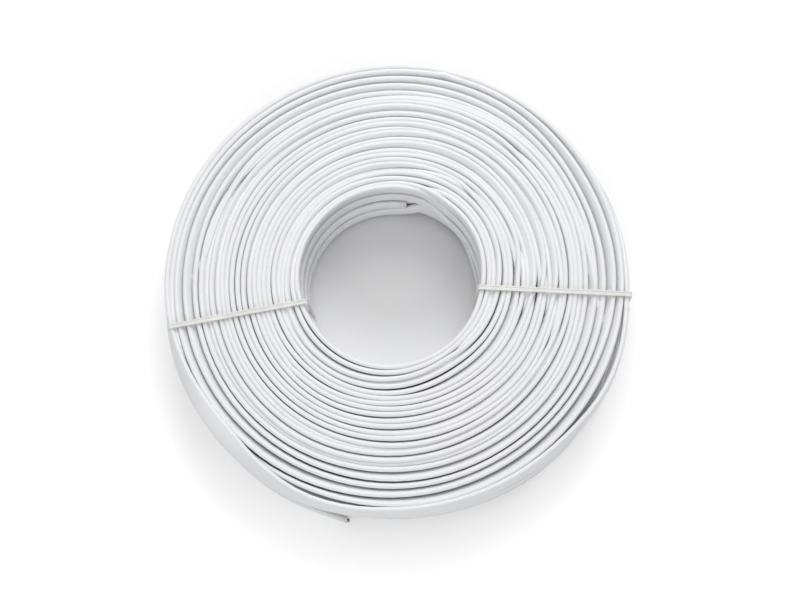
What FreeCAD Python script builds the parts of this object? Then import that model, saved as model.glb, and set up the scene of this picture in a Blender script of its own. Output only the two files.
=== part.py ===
"""Coil of flat eight-core cable, tied with two cable ties.

The frame stands on the floor under the middle of the coil's outline, with +Z up along the coil
and +Y away from the front. Turns go outwards anticlockwise, seen from above.
"""
import FreeCAD
import Part
import math
import os

import Sketcher

doc = FreeCAD.newDocument("cable_coil")

# Driving sizes, in millimetres and degrees

SIZES = [
    ("cable_thickness", 2.4, "flat cable across its faces"),
    ("cable_width", 8.9, "flat cable from edge to edge"),
    ("core_diameter", 0.88, "one insulated core"),
    ("core_gap", 0.04, "room round each core inside the jacket"),
    ("conductor_diameter", 0.44, "copper in a core"),
    ("conductor_gap", 0.02, "room round the copper"),
    ("coil_radius", 111.0, "outline of the coil"),
    ("coil_height", 38.0, "coil from the floor to its top edges"),
    ("bore_radius_floor", 41.0, "bore at the floor"),
    ("bore_radius_top", 43.9, "bore at the top of the coil"),
    ("bore_centre_x", -2.5, "the bore lies a little off the middle"),
    ("bore_centre_y", 2.6, "the bore lies a little off the middle"),
    ("turn_gap", 0.42, "least gap between turns of the top winding"),
    ("seat_gap", 0.3, "gap between the top winding and the turns below it"),
    ("strap_width", 2.4, "tie strap across"),
    ("strap_thickness", 1.1, "tie strap through its rails"),
    ("groove_width", 1.0, "groove between the rails of a strap"),
    ("groove_depth", 0.25, "groove between the rails of a strap"),
    ("strap_bend", 0.4, "inside radius where a strap turns round the coil"),
    ("tie_gap", 0.3, "gap between a tie and the coil"),
    ("floor_gap", 0.3, "height of the lowest loose pieces over the floor"),
    ("head_length", 5.0, "tie head along the strap"),
    ("head_width", 4.4, "tie head across the strap"),
    ("head_thickness", 3.6, "tie head away from the coil"),
    ("head_lift", 6.0, "lower end of a tie head over the floor"),
    ("head_chamfer", 0.45, "chamfer of a tie head's outer edges"),
    ("slot_rise", 2.2, "upper face of the strap in the slot, over the head's lower end"),
    ("slot_gap", 0.12, "room round the strap in the slot"),
    ("pawl_room", 0.8, "height of the pocket that holds the pawl"),
    ("pawl_width", 1.6, "pawl across the strap"),
    ("pawl_pocket_start", 1.4, "pawl pocket from the coil side of the head"),
    ("pawl_pocket_length", 1.7, "pawl pocket along the slot"),
    ("tail_stub", 0.6, "trimmed strap end that stands out of the head"),
    ("left_tie_angle", 190.8, "direction of the left tie seen from above"),
    ("left_tie_shift", 1.7, "left tie's plane beside the coil's middle"),
    ("right_tie_angle", 357.2, "direction of the right tie seen from above"),
    ("right_tie_shift", -1.2, "right tie's plane beside the coil's middle"),
    ("outer_end_bend", 104.0, "centreline radius of the loose outer end"),
    ("outer_end_sweep", 56.0, "arc of the loose outer end"),
    ("outer_end_angle", 252.9, "where the loose end leaves its arc"),
    ("outer_end_straight", 10.0, "straight tip of the loose end"),
    ("outer_end_stand", 0.4, "gap between the loose end and the coil"),
    ("inner_end_height", 14.75, "middle of the inner end over the floor"),
    ("inner_end_angle", 85.0, "where the inner end leaves its arc"),
    ("inner_end_sweep", 30.0, "arc of the inner end"),
    ("inner_end_straight", 3.0, "straight tip of the inner end"),
    ("inner_end_mouth", 9.0, "open notch before the inner end's arc, in degrees"),
]

CORE_COLOURS = ["grey", "orange", "black", "red", "green", "yellow", "blue", "brown"]

sheet = doc.addObject("Spreadsheet::Sheet", "sheet")
for row, (alias, value, meaning) in enumerate(SIZES, start=1):
    sheet.set(f"A{row}", alias)
    sheet.set(f"B{row}", str(value))
    sheet.setAlias(f"B{row}", alias)
    sheet.set(f"C{row}", meaning)
doc.recompute()


def size(alias):
    """One driving size from the sheet."""
    return float(sheet.get(alias))


def number(expression):
    """What an expression on the sheet's cells comes to."""
    return float(sheet.evalExpression(expression))


def turned(degrees, distance=1.0):
    """A horizontal vector of that length in that direction."""
    angle = math.radians(degrees)
    return FreeCAD.Vector(distance * math.cos(angle), distance * math.sin(angle), 0)


def upright(base, degrees):
    """A placement at a point, turned about the vertical."""
    return FreeCAD.Placement(base, FreeCAD.Rotation(FreeCAD.Vector(0, 0, 1), degrees))


bore_centre = FreeCAD.Vector(size("bore_centre_x"), size("bore_centre_y"), 0)
sub_parts = []


def sub_part(thing, label):
    """Name a finished piece and keep it for the checks and the files."""
    thing.Label = label
    sub_parts.append(thing)
    return thing


# Sketches and bodies

def origin_plane(body, role):
    return next(f for f in body.Origin.OriginFeatures if f.Role == role)


def new_sketch(body, name, role):
    sketch = body.newObject("Sketcher::SketchObject", name)
    sketch.AttachmentSupport = (origin_plane(body, role), [""])
    sketch.MapMode = "FlatFace"
    return sketch


def bind(sketch, constraint, name, expression):
    """Add a dimension to a sketch and tie it to the sheet."""
    index = sketch.addConstraint(constraint)
    sketch.renameConstraint(index, name)
    sketch.setExpression(f"Constraints.{name}", expression)


def bind_point(sketch, geometry, point, name, x, y):
    """Hold a point of a sketch at two sheet expressions from the sketch's origin."""
    across = Sketcher.Constraint("DistanceX", -1, 1, geometry, point, number(x))
    along = Sketcher.Constraint("DistanceY", -1, 1, geometry, point, number(y))
    bind(sketch, across, name + "_x", x)
    bind(sketch, along, name + "_y", y)


def draw_circle(sketch, name, x, y, diameter):
    centre = FreeCAD.Vector(number(x), number(y), 0)
    circle = Part.Circle(centre, FreeCAD.Vector(0, 0, 1), number(diameter) / 2)
    geometry = sketch.addGeometry(circle, False)
    bind_point(sketch, geometry, 3, name, x, y)
    span = Sketcher.Constraint("Diameter", geometry, number(diameter))
    bind(sketch, span, name + "_diameter", diameter)


def draw_stadium(sketch, name, x, y, width, thickness):
    """An upright oblong with half-round ends: the section of a flat cable on its edge."""
    radius = number(thickness) / 2
    reach = number(width) / 2 - radius
    middle = FreeCAD.Vector(number(x), number(y), 0)
    rise = FreeCAD.Vector(0, reach, 0)
    side = FreeCAD.Vector(radius, 0, 0)
    normal = FreeCAD.Vector(0, 0, 1)
    upper = Part.ArcOfCircle(Part.Circle(middle + rise, normal, radius), 0, math.pi)
    lower = Part.ArcOfCircle(Part.Circle(middle - rise, normal, radius), math.pi, 2 * math.pi)
    left = Part.LineSegment(middle + rise - side, middle - rise - side)
    right = Part.LineSegment(middle - rise + side, middle + rise + side)
    top, wall_left, bottom, wall_right = sketch.addGeometry([upper, left, lower, right], False)
    sketch.addConstraint(Sketcher.Constraint("Tangent", top, 2, wall_left, 1))
    sketch.addConstraint(Sketcher.Constraint("Tangent", wall_left, 2, bottom, 1))
    sketch.addConstraint(Sketcher.Constraint("Tangent", bottom, 2, wall_right, 1))
    sketch.addConstraint(Sketcher.Constraint("Tangent", wall_right, 2, top, 1))
    centre_rise = f"({width} - ({thickness})) / 2"
    bind_point(sketch, top, 3, name + "_top", x, f"{y} + {centre_rise}")
    bind_point(sketch, bottom, 3, name + "_bottom", x, f"{y} - {centre_rise}")
    bind(sketch, Sketcher.Constraint("Radius", top, radius), name + "_radius", f"({thickness}) / 2")


# Turns under the top winding

def box_cutter(name, degrees, shift, length, width, height):
    """A channel cutter that starts over the bore and runs out along a tie."""
    box = doc.addObject("Part::Box", name)
    box.setExpression("Length", length)
    box.setExpression("Width", width)
    box.setExpression("Height", height)
    across = turned(degrees + 90, shift - number(width) / 2)
    box.Placement = upright(across, degrees)
    return box


def sector(name, radius, height, sweep, placement):
    """A slice of a round disc, used to cut a notch that follows an arc."""
    disc = doc.addObject("Part::Cylinder", name)
    disc.setExpression("Radius", radius)
    disc.setExpression("Height", height)
    disc.setExpression("Angle", sweep)
    disc.Placement = placement
    return disc


def cut(name, base, tool):
    result = doc.addObject("Part::Cut", name)
    result.Base = base
    result.Tool = tool
    return result


def outer_end_centre():
    reach = number("sheet.coil_radius + sheet.outer_end_stand + sheet.cable_thickness / 2")
    return turned(size("outer_end_angle"), reach - size("outer_end_bend"))


def coil_inner_layers():
    """All turns under the top layer, as one ring with the notches that ties and ends lie in."""
    disc = doc.addObject("PartDesign::Body", "inner_layers_disc")
    outline = new_sketch(disc, "coil_outline", "XY_Plane")
    draw_circle(outline, "outline", "0", "0", "2 * sheet.coil_radius")
    pad = disc.newObject("PartDesign::Pad", "layers")
    pad.Profile = outline
    pad.setExpression("Length", "sheet.coil_height - sheet.cable_width - sheet.seat_gap")
    doc.recompute()
    rims = [
        f"Edge{i}" for i, edge in enumerate(pad.Shape.Edges, start=1)
        if isinstance(edge.Curve, Part.Circle) and len(edge.Vertexes) == 1
    ]
    rounding = disc.newObject("PartDesign::Fillet", "outer_rounding")
    rounding.Base = (pad, rims)
    rounding.setExpression("Radius", "sheet.cable_thickness / 2")

    bore = doc.addObject("Part::Cone", "bore_cutter")
    bore.setExpression("Radius1", "sheet.bore_radius_floor")
    bore.setExpression("Radius2", "sheet.bore_radius_top")
    bore.setExpression("Height", "sheet.coil_height")
    bore.Placement = upright(bore_centre, 0)

    cutters = [bore]
    for side in ("left", "right"):
        cutters.append(box_cutter(
            f"{side}_tie_channel",
            size(f"{side}_tie_angle"),
            size(f"{side}_tie_shift"),
            "sheet.coil_radius + sheet.head_thickness",
            "sheet.strap_width + 2 * sheet.tie_gap",
            "sheet.floor_gap + sheet.strap_thickness + sheet.tie_gap",
        ))

    notch_height = "sheet.cable_width + 2 * sheet.floor_gap"
    outer_start = size("outer_end_angle") - size("outer_end_sweep")
    outer_place = upright(outer_end_centre(), outer_start)
    outer_reach = "sheet.outer_end_bend + sheet.cable_width"
    outer_inside = "sheet.outer_end_bend - sheet.cable_thickness / 2 - sheet.floor_gap"
    wide = sector("outer_notch_wide", outer_reach, notch_height, "sheet.outer_end_sweep", outer_place)
    narrow = sector("outer_notch_narrow", outer_inside, notch_height, "360", outer_place)
    cutters.append(cut("outer_end_notch", wide, narrow))

    lift = number("sheet.inner_end_height - sheet.cable_width / 2 - sheet.floor_gap")
    inner_start = number("sheet.inner_end_angle - sheet.inner_end_mouth")
    cutters.append(sector(
        "inner_end_notch",
        f"{INNER_END_RADIUS} + sheet.cable_thickness / 2 + sheet.floor_gap",
        notch_height,
        "sheet.inner_end_sweep + sheet.inner_end_mouth",
        upright(bore_centre + FreeCAD.Vector(0, 0, lift), inner_start),
    ))

    ring = disc
    for cutter in cutters:
        ring = cut("without_" + cutter.Name, ring, cutter)
    return sub_part(ring, "coil_inner_layers")


# The wall of the bore widens with height, and the inner end lies flush with it

BORE_TAPER = "(sheet.bore_radius_top - sheet.bore_radius_floor) / sheet.coil_height"
INNER_END_RADIUS = (
    f"(sheet.bore_radius_floor + {BORE_TAPER} * sheet.inner_end_height"
    " + sheet.cable_thickness / 2)"
)


# Top winding

def stadium_wire(thickness, width, middle, across):
    """The cable's section as a wire, standing on its edge at a point of the path."""
    rise = FreeCAD.Vector(0, 0, (width - thickness) / 2)
    side = across * (thickness / 2)
    cap = FreeCAD.Vector(0, 0, thickness / 2)
    top, bottom = middle + rise, middle - rise
    return Part.Wire([
        Part.Arc(top + side, top + cap, top - side).toShape(),
        Part.LineSegment(top - side, bottom - side).toShape(),
        Part.Arc(bottom - side, bottom - cap, bottom + side).toShape(),
        Part.LineSegment(bottom + side, top + side).toShape(),
    ])


def half_turns():
    """Half circles of the spiral as (centre, radius), from the bore outwards.

    The line through both middles crosses every turn square. Each half turn has its centre on it.
    """
    thickness = size("cable_thickness")
    off_middle = bore_centre.Length
    start = size("bore_radius_top") + thickness / 2
    finish = size("coil_radius") - thickness / 2
    tight_band = finish - off_middle - start
    loose_band = finish + off_middle - start
    loops = int(tight_band / (thickness + size("turn_gap")))
    turns = []
    for loop in range(loops):
        near = start + loose_band * loop / loops
        far = start + tight_band * (loop + 0.5) / loops
        after = start + loose_band * (loop + 1) / loops
        turns.append(((near - far) / 2, (near + far) / 2))
        turns.append(((after - far) / 2, (after + far) / 2))
    return turns


def least_gap(turns):
    """The least room between a half turn and the next one outside it, measured on points."""
    points = 90
    gap = math.inf
    for inner, outer in zip(turns, turns[2:]):
        for step in range(points + 1):
            angle = math.pi * step / points
            reach = []
            for centre, radius in (inner, outer):
                along = centre * math.cos(angle)
                reach.append(along + math.sqrt(radius ** 2 - (centre * math.sin(angle)) ** 2))
            gap = min(gap, reach[1] - reach[0] - size("cable_thickness"))
    return gap


def coil_top_winding():
    """The layer that shows from above: one cable on its edge, wound outwards in a flat spiral."""
    thickness = size("cable_thickness")
    width = size("cable_width")
    turns = half_turns()
    run = FreeCAD.Vector(0, 2 * thickness, 0)
    first = FreeCAD.Vector(turns[0][0] + turns[0][1], 0, 0)
    edges = [Part.LineSegment(first - run, first).toShape()]
    for index, (centre, radius) in enumerate(turns):
        side = 1 if index % 2 == 0 else -1
        begin = FreeCAD.Vector(centre + side * radius, 0, 0)
        middle = FreeCAD.Vector(centre, side * radius, 0)
        end = FreeCAD.Vector(centre - side * radius, 0, 0)
        edges.append(Part.Arc(begin, middle, end).toShape())
    last = FreeCAD.Vector(turns[-1][0] + turns[-1][1], 0, 0)
    edges.append(Part.LineSegment(last, last + run).toShape())
    path = Part.Wire(edges)

    shell = Part.BRepOffsetAPI.MakePipeShell(path)
    shell.add(stadium_wire(thickness, width, first - run, FreeCAD.Vector(1, 0, 0)))
    shell.build()
    shell.makeSolid()
    winding = doc.addObject("Part::Feature", "top_winding")
    winding.Shape = shell.shape()
    lift = FreeCAD.Vector(0, 0, size("coil_height") - width / 2)
    loose_side = math.degrees(math.atan2(-bore_centre.y, -bore_centre.x))
    winding.Placement = upright(bore_centre + lift, loose_side)

    section = Part.Face(stadium_wire(thickness, width, FreeCAD.Vector(), FreeCAD.Vector(1, 0, 0))).Area
    print("top winding: loops", len(turns) // 2, "length mm", round(path.Length))
    print("top winding: least gap to itself mm", round(least_gap(turns), 3))
    print("top winding: volume over section times length",
          round(winding.Shape.Volume / (section * path.Length), 4))
    return sub_part(winding, "coil_top_winding")


# Ends of the cable

def end_piece(label, draw, straight, sweep, placement, backwards):
    """One piece of a cable end: the same section along an arc and then a straight tip."""
    body = doc.addObject("PartDesign::Body", "body_" + label)
    section = new_sketch(body, "section_" + label, "XZ_Plane")
    draw(section)
    bend = body.newObject("PartDesign::Revolution", "bend_" + label)
    bend.Profile = section
    bend.ReferenceAxis = (section, ["V_Axis"])
    bend.setExpression("Angle", sweep)
    bend.Reversed = backwards
    tip = body.newObject("PartDesign::Pad", "tip_" + label)
    tip.Profile = section
    tip.setExpression("Length", straight)
    tip.Reversed = backwards
    body.Tip = tip
    body.Placement = placement
    return sub_part(body, label)


def cable_end(name, radius, height, straight, sweep, centre, degrees, backwards):
    """A short stretch of the cable with everything inside it: jacket, cores and copper."""
    placement = upright(centre, degrees)
    cores = len(CORE_COLOURS)
    cavity_width = f"{cores} * sheet.core_diameter + {cores + 1} * sheet.core_gap"
    cavity_thickness = "sheet.core_diameter + 2 * sheet.core_gap"

    def draw_jacket(sketch):
        draw_stadium(sketch, "outside", radius, height, "sheet.cable_width", "sheet.cable_thickness")
        draw_stadium(sketch, "cavity", radius, height, cavity_width, cavity_thickness)

    end_piece(f"{name}_jacket", draw_jacket, straight, sweep, placement, backwards)
    for index, colour in enumerate(CORE_COLOURS):
        step = index - (cores - 1) / 2
        level = f"{height} + {step} * (sheet.core_diameter + sheet.core_gap)"

        def draw_insulation(sketch, level=level):
            draw_circle(sketch, "outside", radius, level, "sheet.core_diameter")
            bore = "sheet.conductor_diameter + 2 * sheet.conductor_gap"
            draw_circle(sketch, "bore", radius, level, bore)

        def draw_conductor(sketch, level=level):
            draw_circle(sketch, "copper", radius, level, "sheet.conductor_diameter")

        end_piece(f"{name}_core_{colour}", draw_insulation, straight, sweep, placement, backwards)
        end_piece(f"{name}_conductor_{colour}", draw_conductor, straight, sweep, placement, backwards)


def cable_ends():
    cable_end(
        "outer_end",
        "sheet.outer_end_bend",
        "sheet.floor_gap + sheet.cable_width / 2",
        "sheet.outer_end_straight",
        "sheet.outer_end_sweep",
        outer_end_centre(),
        size("outer_end_angle"),
        True,
    )
    cable_end(
        "inner_end",
        INNER_END_RADIUS,
        "sheet.inner_end_height",
        "sheet.inner_end_straight",
        "sheet.inner_end_sweep",
        bore_centre,
        size("inner_end_angle"),
        False,
    )


# Cable ties

def offset_corners(corners, distance):
    """Corner points of a line moved to the right of its own direction."""
    legs = [(b - a).normalize() for a, b in zip(corners, corners[1:])]
    sides = [FreeCAD.Vector(leg.z, 0, -leg.x) * distance for leg in legs]
    moved = [corners[0] + sides[0]]
    for corner, before, after, side in zip(corners[1:], legs, legs[1:], sides):
        turn = before.x * after.z - before.z * after.x
        other = FreeCAD.Vector(after.z, 0, -after.x) * distance
        gap = other - side
        slide = (gap.x * after.z - gap.z * after.x) / turn
        moved.append(corner + side + before * slide)
    moved.append(corners[-1] + sides[-1])
    return moved


def rounded_line(corners, radii, distance):
    """Straight runs joined by tangent arcs, moved to the right by a distance."""
    points = offset_corners(corners, distance)
    edges = []
    place = points[0]
    for index, radius in enumerate(radii, start=1):
        before = (points[index] - points[index - 1]).normalize()
        after = (points[index + 1] - points[index]).normalize()
        turn = before.x * after.z - before.z * after.x
        bend = radius + distance if turn > 0 else radius - distance
        half = math.acos(max(-1.0, min(1.0, before.dot(after)))) / 2
        reach = bend * math.tan(half)
        start = points[index] - before * reach
        stop = points[index] + after * reach
        inward = (after - before).normalize()
        middle = points[index] + inward * (bend / math.cos(half) - bend)
        edges.append(Part.LineSegment(place, start).toShape())
        edges.append(Part.Arc(start, middle, stop).toShape())
        place = stop
    edges.append(Part.LineSegment(place, points[-1]).toShape())
    return edges


def strip(corners, radii, inside, outside, width):
    """A flat band that follows a line, from one distance beside it to another."""
    near = rounded_line(corners, radii, inside)
    far = rounded_line(corners, radii, outside)
    starts = [line[0].Vertexes[0].Point for line in (near, far)]
    stops = [line[-1].Vertexes[-1].Point for line in (near, far)]
    caps = [Part.LineSegment(*starts).toShape(), Part.LineSegment(*stops).toShape()]
    outline = Part.Wire(Part.__sortEdges__(near + far + caps))
    band = Part.Face(outline).extrude(FreeCAD.Vector(0, width, 0))
    return band.translated(FreeCAD.Vector(0, -width / 2, 0))


def block(low, high, width):
    """A box between two points of the tie's plane, centred across the strap."""
    span = high - low
    base = FreeCAD.Vector(low.x, -width / 2, low.z)
    return Part.makeBox(span.x, width, span.z, base)


def tie(side):
    """One moulded tie: strap with two rails, head, pawl, and its own trimmed end in the slot."""
    point = FreeCAD.Vector
    thickness = size("strap_thickness")
    gap = size("tie_gap")
    slot_gap = size("slot_gap")
    angle = size(f"{side}_tie_angle")
    shift = size(f"{side}_tie_shift")
    forward = turned(angle)
    sideways = turned(angle + 90)
    along = bore_centre.dot(forward)
    half_width = size("strap_width") / 2
    across = abs(bore_centre.dot(sideways) - shift) + half_width

    def bore_wall(height):
        radius = size("bore_radius_floor") + number(BORE_TAPER) * height
        return along + math.sqrt(radius ** 2 - across ** 2) - gap

    nearest = max(abs(shift) - half_width, 0)
    wall = math.sqrt(size("coil_radius") ** 2 - nearest ** 2) + gap
    top = size("coil_height") + gap
    under = size("floor_gap") + thickness
    head_low = size("head_lift")
    head_high = head_low + size("head_length")
    slot = head_low + size("slot_rise")
    face = wall + size("head_thickness")
    bend = size("strap_bend")

    start = point(wall, 0, (slot + head_high) / 2 + size("pawl_room") / 2)
    corners = [
        start,
        point(wall, 0, top),
        point(bore_wall(top), 0, top),
        point(bore_wall(under), 0, under),
        point(wall, 0, under),
        point(wall, 0, slot),
        point(face + size("tail_stub"), 0, slot),
    ]
    radii = [bend, bend, bend, bend, thickness + bend / 2]
    strap = strip(corners, radii, 0, thickness, size("strap_width"))

    railed = corners[:5] + [point(wall, 0, head_low)]
    groove_floor = thickness - size("groove_depth")
    groove = strip(railed, radii[:4], groove_floor, thickness + gap, size("groove_width"))

    head = block(point(wall, 0, head_low), point(face, 0, head_high), size("head_width"))
    outer_edges = [
        edge for edge in head.Edges
        if all(vertex.X > face - gap for vertex in edge.Vertexes)
        or abs(edge.Vertexes[0].X - edge.Vertexes[1].X) > gap
    ]
    head = head.makeChamfer(size("head_chamfer"), outer_edges)
    passage = strip(
        [point(wall, 0, under), corners[5], corners[6]],
        radii[4:], -slot_gap, thickness + slot_gap, size("strap_width") + 2 * slot_gap,
    )
    pocket_x = wall + size("pawl_pocket_start")
    pocket_floor = slot + slot_gap
    pocket_top = pocket_floor + size("pawl_room")
    pocket = block(
        point(pocket_x, 0, slot),
        point(pocket_x + size("pawl_pocket_length"), 0, pocket_top),
        size("pawl_width") + 2 * slot_gap,
    )
    tongue_reach = pocket_x + size("pawl_pocket_length") - slot_gap
    tongue = Part.Face(Part.makePolygon([
        point(pocket_x - gap, 0, pocket_top - slot_gap),
        point(pocket_x - gap, 0, pocket_floor + slot_gap),
        point(tongue_reach - slot_gap, 0, pocket_floor),
        point(tongue_reach, 0, pocket_floor + gap),
        point(pocket_x - gap, 0, pocket_top - slot_gap),
    ])).extrude(point(0, size("pawl_width"), 0))
    pawl = tongue.translated(point(0, -size("pawl_width") / 2, 0))

    head = head.cut(passage).cut(pocket).fuse(pawl)
    whole = strap.cut(groove).fuse(head).removeSplitter()
    moulding = doc.addObject("Part::Feature", f"{side}_moulding")
    moulding.Shape = whole.Solids[0]
    moulding.Placement = upright(sideways * shift, angle)
    print(side, "tie: solids", len(whole.Solids), "volume", round(whole.Volume, 2))
    return sub_part(moulding, f"{side}_tie")


coil_inner_layers()
coil_top_winding()
cable_ends()
tie("left")
tie("right")
doc.recompute()

# Checks and files

for thing in doc.Objects:
    if "Invalid" in thing.State or "Error" in thing.State:
        raise RuntimeError(f"{thing.Label} is not built: {thing.State}")

os.makedirs("parts", exist_ok=True)
for thing in sub_parts:
    shape = thing.Shape
    if shape.isNull() or not shape.isValid() or len(shape.Solids) != 1:
        raise RuntimeError(f"{thing.Label} has no sound solid")
    print(f"{thing.Label}: volume {shape.Volume:.2f} mm3")
    shape.exportStep(f"parts/{thing.Label}.step")
print("sub-parts:", len(sub_parts))
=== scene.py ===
"""A tied, free-standing coil of white flat eight-core cable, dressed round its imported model."""
import math
import random

import bmesh
import bpy
from mathutils import Matrix, Vector


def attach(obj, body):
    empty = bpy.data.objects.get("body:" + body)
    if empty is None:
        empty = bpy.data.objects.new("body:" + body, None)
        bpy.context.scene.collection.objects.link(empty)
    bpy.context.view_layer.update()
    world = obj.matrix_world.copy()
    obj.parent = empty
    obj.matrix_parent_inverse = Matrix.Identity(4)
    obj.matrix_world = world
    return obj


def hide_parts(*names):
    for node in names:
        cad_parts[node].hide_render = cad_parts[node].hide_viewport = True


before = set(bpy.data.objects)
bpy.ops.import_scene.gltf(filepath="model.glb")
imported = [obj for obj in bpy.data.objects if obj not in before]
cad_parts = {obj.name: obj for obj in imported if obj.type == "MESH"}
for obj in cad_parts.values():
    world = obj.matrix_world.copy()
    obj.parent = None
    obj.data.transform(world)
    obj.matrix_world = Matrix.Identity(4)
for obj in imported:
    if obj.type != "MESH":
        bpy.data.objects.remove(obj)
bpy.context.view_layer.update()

bl_info = {
    "name": "Tied Cable Coil",
    "version": (1, 0, 0),
    "blender": (4, 5, 0),
    "location": "3D View > Sidebar > Cable Coil",
    "description": "Winds a coil of flat cable and ties it with two nylon straps",
    "category": "Add Mesh",
}

MM = 0.001

# The edge of each top turn, in millimetres from the coil's axis, every 30 degrees from +X.
# The first line is the rim of the bore, and each line after it is the next turn's outer edge.
INNER_EDGES = (
    (39.6, 43.1, 45.6, 47.0, 48.2, 48.4, 47.2, 44.8, 42.4, 40.4, 38.6, 38.2),
    (41.9, 45.2, 47.9, 49.0, 50.2, 50.5, 49.8, 47.4, 45.2, 42.9, 40.9, 40.7),
    (44.7, 47.9, 50.7, 50.9, 51.6, 51.9, 51.4, 50.4, 48.2, 45.4, 42.7, 42.9),
    (46.3, 49.9, 52.6, 53.5, 54.7, 55.0, 54.7, 54.4, 52.2, 48.5, 45.5, 43.9),
    (49.5, 53.3, 55.5, 56.3, 56.8, 56.8, 56.3, 55.3, 53.0, 49.2, 46.2, 47.5),
    (52.8, 55.6, 58.6, 57.2, 57.9, 58.4, 58.3, 57.0, 55.3, 52.2, 49.2, 50.3),
    (55.2, 57.5, 59.9, 60.7, 61.3, 61.5, 61.1, 59.7, 57.9, 55.4, 52.6, 53.6),
    (58.4, 59.8, 62.1, 63.3, 63.5, 63.6, 63.5, 62.5, 60.6, 58.1, 56.8, 57.9),
    (61.5, 62.8, 65.1, 65.5, 66.4, 66.3, 65.8, 65.0, 63.3, 60.4, 58.6, 59.7),
    (62.7, 64.2, 66.6, 67.7, 68.0, 68.1, 67.9, 67.2, 65.8, 63.3, 62.0, 63.8),
    (66.8, 68.6, 71.3, 71.6, 71.1, 71.0, 70.4, 69.8, 68.6, 65.6, 64.3, 65.3),
    (69.2, 70.2, 73.5, 73.2, 72.8, 72.6, 72.6, 72.3, 71.2, 69.0, 67.8, 69.1),
    (72.0, 74.6, 76.8, 77.2, 76.1, 76.0, 75.8, 75.0, 73.8, 71.4, 70.1, 70.7),
    (73.7, 75.3, 77.6, 78.8, 78.2, 78.6, 78.5, 77.5, 76.5, 74.8, 74.2, 75.1),
    (77.4, 78.6, 80.7, 81.8, 81.2, 81.4, 81.0, 80.4, 79.1, 77.4, 76.3, 76.4),
    (78.9, 80.7, 82.6, 83.9, 83.3, 83.6, 83.7, 83.1, 82.4, 80.9, 79.2, 79.2),
    (81.5, 83.8, 85.7, 86.7, 86.4, 86.4, 85.8, 85.1, 84.4, 82.0, 80.0, 79.9),
    (84.4, 86.3, 86.4, 87.3, 87.0, 87.4, 87.6, 87.3, 86.5, 84.2, 82.6, 82.7),
    (86.6, 88.2, 89.7, 90.8, 90.2, 91.0, 91.0, 91.0, 90.0, 87.7, 86.0, 86.4),
    (88.5, 90.7, 92.5, 93.0, 93.0, 92.4, 92.3, 92.2, 91.2, 89.0, 87.4, 87.8),
    (91.1, 93.2, 95.3, 95.1, 94.7, 95.6, 95.8, 95.4, 94.3, 92.2, 90.7, 90.8),
)
# The last top turns are one spiral, so their edges are one line, a row here to each turn.
OUTER_EDGE = (
    91.1, 93.2, 95.3, 95.1, 94.7, 95.6, 95.8, 95.4, 94.3, 92.2, 90.7, 90.8,
    91.6, 94.5, 96.8, 97.6, 97.5, 98.7, 98.7, 98.5, 98.0, 96.6, 95.0, 95.0,
    95.7, 97.4, 100.3, 101.5, 101.6, 103.1, 103.4, 103.0, 101.6, 100.1, 98.2, 98.6,
    99.8, 100.4, 104.5, 105.2, 105.3, 106.7, 107.6, 107.3, 106.5, 104.1, 102.2, 102.0,
    104.8, 105.6, 108.2, 109.0, 108.5, 109.3, 109.8, 109.9, 109.6, 108.6, 107.2, 107.2,
    108.5, 110.0, 110.7, 111.2, 111.0, 111.6, 112.3, 112.8, 113.2, 112.2, 110.9, 110.7,
    110.8, 111.2, 111.6, 111.6,
)
# The last full top turn lies over on its side at the lower left: its inner edge and its width
# seen from above, every 12 degrees from 180.
LAST_EDGE = (
    109.8, 108.6, 108.3, 105.8, 106.9, 110.6, 111.0, 109.0, 107.8, 107.5, 107.2, 107.2, 108.4,
    110.8, 108.6,
)
LAST_WIDTH = (2.6, 4.4, 6.0, 8.1, 7.9, 5.0, 4.0, 4.2, 4.2, 3.9, 3.7, 3.6, 3.3, 3.1, 3.0)
LAST_START = 180.0
LAST_STEP = 12.0
# Where each pair of top turns crosses over, in degrees, from the bore outwards, and how many
# pairs belong to the inner stretch.
CROSSINGS = (72, 310, 55, 12, 350, 0, 352, 340, 48, 147)
INNER_PAIRS = 8
# Where the last top turn fades into the laid-over shape and out of it again, in degrees.
LAID_IN = 14.0
LAID_OUT = 18.0
# How far over it may lie: 1 would be flat on its side.
LAID_MOST = 0.93
# Places round the coil are given as a middle, a spread to each side and the most there.
# The laid-over turn stands a little proud there.
LAID_PROUD = (216, 20, 1.0)
# The turn inside it sinks under it by so many millimetres, there.
SUNK = 3.6
SUNK_AT = (217, 16, 1.6)
# The turns of the outside wall bulge, lean and rise there, more than elsewhere.
WALL_BULGE = (216, 18, 2.9)
WALL_LEAN = (216, 24, 30)
WALL_RISE = (0, 26, 1.3)
# In shares of the height: how far below the middle the bulge is widest, where no turn leans.
BULGE_BELOW = 0.15
UPRIGHT_AT = 0.3
# The turn behind the inner end comes forward beside it.
TIP_NEIGHBOUR = (81, 6, 2.2)
# After its last full turn the spiral comes down to the row below, over this many degrees, and
# stops short of it by so many millimetres.
DESCENT = 48.0
DESCENT_REST = 1.0
# After each pair of layers the cable runs on along the floor for this many degrees.
FLOOR_WAY = 320
# Where the turns of the low layers, and those of the outside wall, go on to the next row.
LOW_STEP = 300
WALL_STEP = 298
# How far the last low layer runs on, and how far the spiral goes round, in degrees.
LAST_LOW_WAY = 26
SPIRAL_WAY = 5 * 360 + 45
# The two ends, in millimetres and degrees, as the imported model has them.
INNER_TIP_HEIGHT = 14.75
INNER_TIP_START = 84.85
INNER_TIP_LENGTH = 33.0
TAIL_BEND_CENTRE = (-2.53, -8.22)
TAIL_BEND_RADIUS = 104.0
TAIL_STRAIGHT_FROM = 252.9
TAIL_FROM = 200.0
TAIL_END = 257.95
TAIL_HEIGHT = 4.75
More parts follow.
